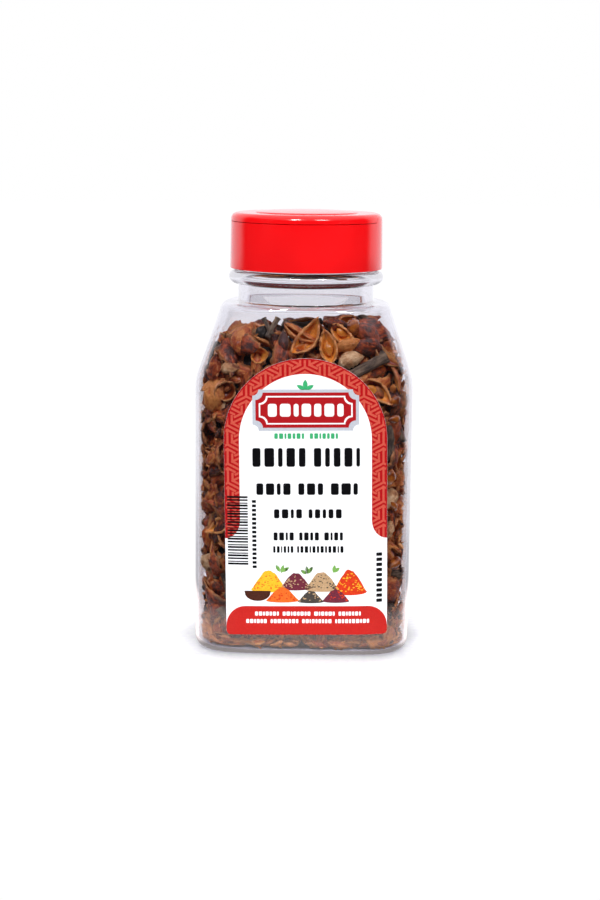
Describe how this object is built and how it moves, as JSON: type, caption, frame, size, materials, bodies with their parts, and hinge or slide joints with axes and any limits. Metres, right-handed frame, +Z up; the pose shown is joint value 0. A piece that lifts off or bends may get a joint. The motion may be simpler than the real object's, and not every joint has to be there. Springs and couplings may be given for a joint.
{
  "type": "jar of star anise",
  "caption": "Clear rectangular spice jar with a round two-flap cap and a front label, filled with broken star anise.",
  "frame": {"origin": "on the surface that the jar stands on, under the middle of its base", "axes": "+Z up the jar, -Y out of the labelled front, +X to the right as seen from the front"},
  "size_m": [0.079, 0.0583, 0.1599],
  "materials": {
    "clear_plastic": "clear moulded PET, glossy",
    "red_plastic": "red moulded polypropylene, glossy",
    "label_paper": "coated paper with red, green and black print, satin",
    "dried_pods": "dried woody pods, wrinkled outside, smooth and shiny inside"
  },
  "bodies": {
    "root": {"jar": "clear_plastic", "cap": "red_plastic", "cap_flap_front": "red_plastic", "cap_flap_back": "red_plastic", "label": "label_paper", "star_anise": "dried_pods"}
  },
  "joints": []
}
